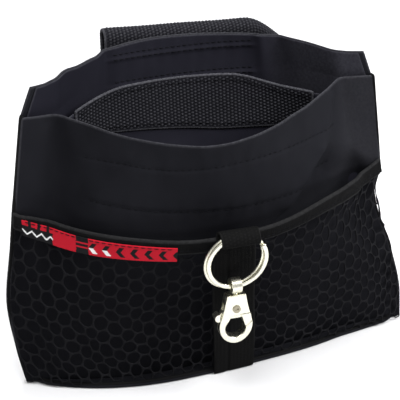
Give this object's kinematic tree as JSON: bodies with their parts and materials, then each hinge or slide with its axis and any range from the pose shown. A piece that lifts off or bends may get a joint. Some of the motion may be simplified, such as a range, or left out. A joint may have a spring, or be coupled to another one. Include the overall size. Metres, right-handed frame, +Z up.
{
  "type": "treat pouch",
  "caption": "Soft open-mouthed pouch with a net front pocket, a divider, a belt loop behind and a swivel clasp hanging from a ring on a webbing strap.",
  "frame": {"origin": "middle of the base panel, on the resting plane", "axes": "+X along the mouth, towards the right side seam; +Y from the net pocket to the belt loop; +Z up out of the mouth"},
  "size_m": [0.1944, 0.1071, 0.148],
  "materials": {
    "nylon": "plain-woven packcloth, slight sheen",
    "lining": "thin woven nylon",
    "stay": "flat polyethylene strip",
    "webbing": "ribbed woven webbing",
    "net": "knotless knitted net",
    "binding": "folded grosgrain tape",
    "label": "woven label",
    "nickel": "polished nickel plate",
    "spring_steel": "drawn wire"
  },
  "bodies": {
    "pouch": {"base_panel": "nylon", "front_panel": "nylon", "back_panel": "nylon", "front_rim_facing": "lining", "front_stiffener": "stay", "back_rim_facing": "lining", "divider_panel": "lining", "divider_webbing": "webbing", "mesh_pocket": "net", "pocket_binding": "binding", "pocket_label": "label", "side_seam_left": "binding", "side_seam_right": "binding", "base_binding": "binding", "belt_loop": "webbing", "center_strap": "webbing"},
    "ring": {"split_ring": "nickel"},
    "bail": {"swivel_bail": "nickel"},
    "clasp": {"clasp_body": "nickel", "lever_rivet": "nickel", "lever_spring": "spring_steel"},
    "lever": {"clasp_lever": "nickel"}
  },
  "joints": [
    {"name": "ring_swing", "type": "hinge", "parent": "pouch", "child": "ring", "pos_m": [-0.003, -0.0444, 0.0795], "axis": [1, 0, 0], "range_deg": [-160, 0]},
    {"name": "bail_swing", "type": "hinge", "parent": "ring", "child": "bail", "pos_m": [-0.003, -0.04093, 0.05484], "axis": [1, 0, 0], "range_deg": [-120, 0]},
    {"name": "clasp_swivel", "type": "hinge", "parent": "bail", "child": "clasp", "pos_m": [-0.003, -0.04093, 0.05484], "axis": [0, 0, 1], "continuous": true},
    {"name": "gate_open", "type": "hinge", "parent": "clasp", "child": "lever", "pos_m": [-0.003, -0.04093, 0.04394], "axis": [0, 1, 0], "range_deg": [0, 28], "stiffness_Nm_per_rad": 0.01, "springref_deg": -11.46}
  ]
}
